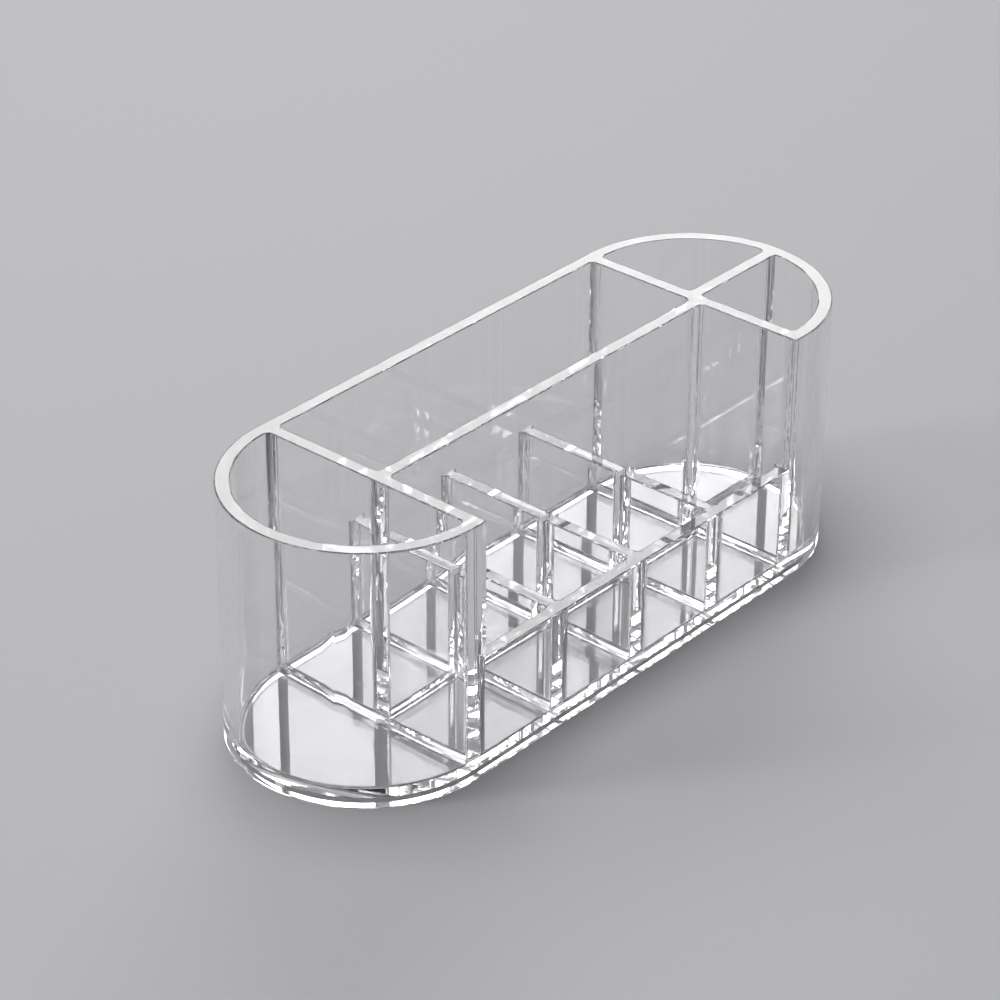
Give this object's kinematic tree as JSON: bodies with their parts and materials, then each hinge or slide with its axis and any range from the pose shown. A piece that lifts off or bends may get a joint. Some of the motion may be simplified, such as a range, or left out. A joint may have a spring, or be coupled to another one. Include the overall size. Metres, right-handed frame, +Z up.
{
  "type": "vanity organizer",
  "caption": "Clear tray with half-round ends, a low front wall, two rows of slots and a tall well at each end, for small tubes and brushes on a vanity or bathroom shelf",
  "frame": {"origin": "on the table, under the middle of the tray's outline", "axes": "+X along the tray to the end whose well is divided, -Y to the low front wall, +Z up"},
  "size_m": [0.1668, 0.06, 0.06],
  "materials": {
    "clear_acrylic": "polished"
  },
  "bodies": {
    "root": {"base_plate": "clear_acrylic", "left_end_wall": "clear_acrylic", "right_end_wall": "clear_acrylic", "rear_wall": "clear_acrylic", "front_wall": "clear_acrylic", "left_cross_wall": "clear_acrylic", "right_cross_wall": "clear_acrylic", "centre_divider": "clear_acrylic", "right_end_divider": "clear_acrylic", "slot_divider_1": "clear_acrylic", "slot_divider_2": "clear_acrylic", "slot_divider_3": "clear_acrylic"}
  },
  "joints": []
}
